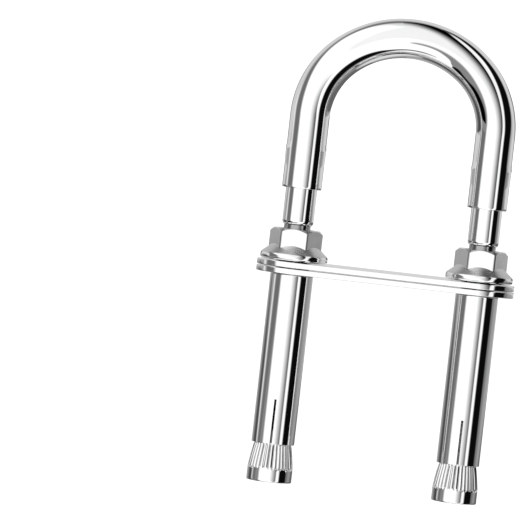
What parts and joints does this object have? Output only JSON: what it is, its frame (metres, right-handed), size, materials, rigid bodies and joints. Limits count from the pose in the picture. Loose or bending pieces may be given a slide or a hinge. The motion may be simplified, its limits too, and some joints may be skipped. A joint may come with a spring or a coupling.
{
  "type": "u-bolt",
  "caption": "Polished steel U-shaped bolt on flat plates, with flanged nuts on its legs and slotted expansion sleeves and ribbed cones that anchor it in a wall.",
  "frame": {"origin": "middle of the lower plate's underside, the face that rests on the wall, halfway between the legs", "axes": "+Z out of the wall, along the legs towards the bow; X along the plate from leg to leg; Y across the plate"},
  "size_m": [0.0834, 0.0234, 0.1531],
  "materials": {
    "bar_steel": "mirror-polished stainless steel",
    "nut_steel": "bright stainless steel, lightly polished",
    "plate_steel": "polished stainless steel sheet with cut edges",
    "sleeve_steel": "polished stainless steel tube",
    "cone_steel": "bright turned stainless steel"
  },
  "bodies": {
    "wall_side": {"lower_plate": "plate_steel", "upper_plate": "plate_steel"},
    "bow": {"bow": "bar_steel"},
    "nut_left": {"nut_left": "nut_steel"},
    "nut_right": {"nut_right": "nut_steel"},
    "sleeve_left": {"sleeve_left": "sleeve_steel"},
    "cone_left": {"cone_left": "cone_steel"},
    "sleeve_left_leaf_1": {"sleeve_left_leaf_1": "sleeve_steel"},
    "sleeve_left_leaf_2": {"sleeve_left_leaf_2": "sleeve_steel"},
    "sleeve_left_leaf_3": {"sleeve_left_leaf_3": "sleeve_steel"},
    "sleeve_left_leaf_4": {"sleeve_left_leaf_4": "sleeve_steel"},
    "sleeve_right": {"sleeve_right": "sleeve_steel"},
    "cone_right": {"cone_right": "cone_steel"},
    "sleeve_right_leaf_1": {"sleeve_right_leaf_1": "sleeve_steel"},
    "sleeve_right_leaf_2": {"sleeve_right_leaf_2": "sleeve_steel"},
    "sleeve_right_leaf_3": {"sleeve_right_leaf_3": "sleeve_steel"},
    "sleeve_right_leaf_4": {"sleeve_right_leaf_4": "sleeve_steel"}
  },
  "joints": [
    {"name": "nut_left_turn", "type": "hinge", "parent": "wall_side", "child": "nut_left", "pos_m": [-0.03, 0, 0.0042], "axis": [0, 0, -1], "range_deg": [-217, 841]},
    {"name": "nut_right_turn", "type": "hinge", "parent": "wall_side", "child": "nut_right", "pos_m": [0.03, 0, 0.0042], "axis": [0, 0, -1], "range_deg": [-217, 841]},
    {"name": "bow_draw", "type": "slide", "parent": "wall_side", "child": "bow", "axis": [0, 0, 1], "range_m": [-0.0009, 0.0035]},
    {"name": "sleeve_left_spin", "type": "hinge", "parent": "wall_side", "child": "sleeve_left", "pos_m": [-0.03, 0, -0.0003], "axis": [0, 0, 1], "continuous": true},
    {"name": "cone_left_unscrew", "type": "slide", "parent": "bow", "child": "cone_left", "axis": [0, 0, -1], "range_m": [0, 0.0135]},
    {"name": "sleeve_left_leaf_1_flex", "type": "hinge", "parent": "sleeve_left", "child": "sleeve_left_leaf_1", "pos_m": [-0.02577, -0.00504, -0.0409], "axis": [-0.766, -0.6428, 0], "range_deg": [-0.73, 2.82]},
    {"name": "sleeve_left_leaf_2_flex", "type": "hinge", "parent": "sleeve_left", "child": "sleeve_left_leaf_2", "pos_m": [-0.02496, 0.00423, -0.0409], "axis": [0.6428, -0.766, 0], "range_deg": [-0.73, 2.82]},
    {"name": "sleeve_left_leaf_3_flex", "type": "hinge", "parent": "sleeve_left", "child": "sleeve_left_leaf_3", "pos_m": [-0.03423, 0.00504, -0.0409], "axis": [0.766, 0.6428, 0], "range_deg": [-0.73, 2.82]},
    {"name": "sleeve_left_leaf_4_flex", "type": "hinge", "parent": "sleeve_left", "child": "sleeve_left_leaf_4", "pos_m": [-0.03504, -0.00423, -0.0409], "axis": [-0.6428, 0.766, 0], "range_deg": [-0.73, 2.82]},
    {"name": "sleeve_right_spin", "type": "hinge", "parent": "wall_side", "child": "sleeve_right", "pos_m": [0.03, 0, -0.0003], "axis": [0, 0, 1], "continuous": true},
    {"name": "cone_right_unscrew", "type": "slide", "parent": "bow", "child": "cone_right", "axis": [0, 0, -1], "range_m": [0, 0.0135]},
    {"name": "sleeve_right_leaf_1_flex", "type": "hinge", "parent": "sleeve_right", "child": "sleeve_right_leaf_1", "pos_m": [0.03448, -0.00481, -0.0409], "axis": [-0.7314, -0.682, 0], "range_deg": [-0.73, 2.82]},
    {"name": "sleeve_right_leaf_2_flex", "type": "hinge", "parent": "sleeve_right", "child": "sleeve_right_leaf_2", "pos_m": [0.03481, 0.00448, -0.0409], "axis": [0.682, -0.7314, 0], "range_deg": [-0.73, 2.82]},
    {"name": "sleeve_right_leaf_3_flex", "type": "hinge", "parent": "sleeve_right", "child": "sleeve_right_leaf_3", "pos_m": [0.02552, 0.00481, -0.0409], "axis": [0.7314, 0.682, 0], "range_deg": [-0.73, 2.82]},
    {"name": "sleeve_right_leaf_4_flex", "type": "hinge", "parent": "sleeve_right", "child": "sleeve_right_leaf_4", "pos_m": [0.02519, -0.00448, -0.0409], "axis": [-0.682, 0.7314, 0], "range_deg": [-0.73, 2.82]}
  ],
  "couplings": [
    {"joint": "nut_left_turn", "follows": "bow_draw", "rad_per_m": 4188.8},
    {"joint": "nut_right_turn", "follows": "bow_draw", "rad_per_m": 4188.8},
    {"joint": "sleeve_left_leaf_1_flex", "follows": "bow_draw", "rad_per_m": 14},
    {"joint": "sleeve_left_leaf_2_flex", "follows": "bow_draw", "rad_per_m": 14},
    {"joint": "sleeve_left_leaf_3_flex", "follows": "bow_draw", "rad_per_m": 14},
    {"joint": "sleeve_left_leaf_4_flex", "follows": "bow_draw", "rad_per_m": 14},
    {"joint": "sleeve_right_leaf_1_flex", "follows": "bow_draw", "rad_per_m": 14},
    {"joint": "sleeve_right_leaf_2_flex", "follows": "bow_draw", "rad_per_m": 14},
    {"joint": "sleeve_right_leaf_3_flex", "follows": "bow_draw", "rad_per_m": 14},
    {"joint": "sleeve_right_leaf_4_flex", "follows": "bow_draw", "rad_per_m": 14}
  ]
}
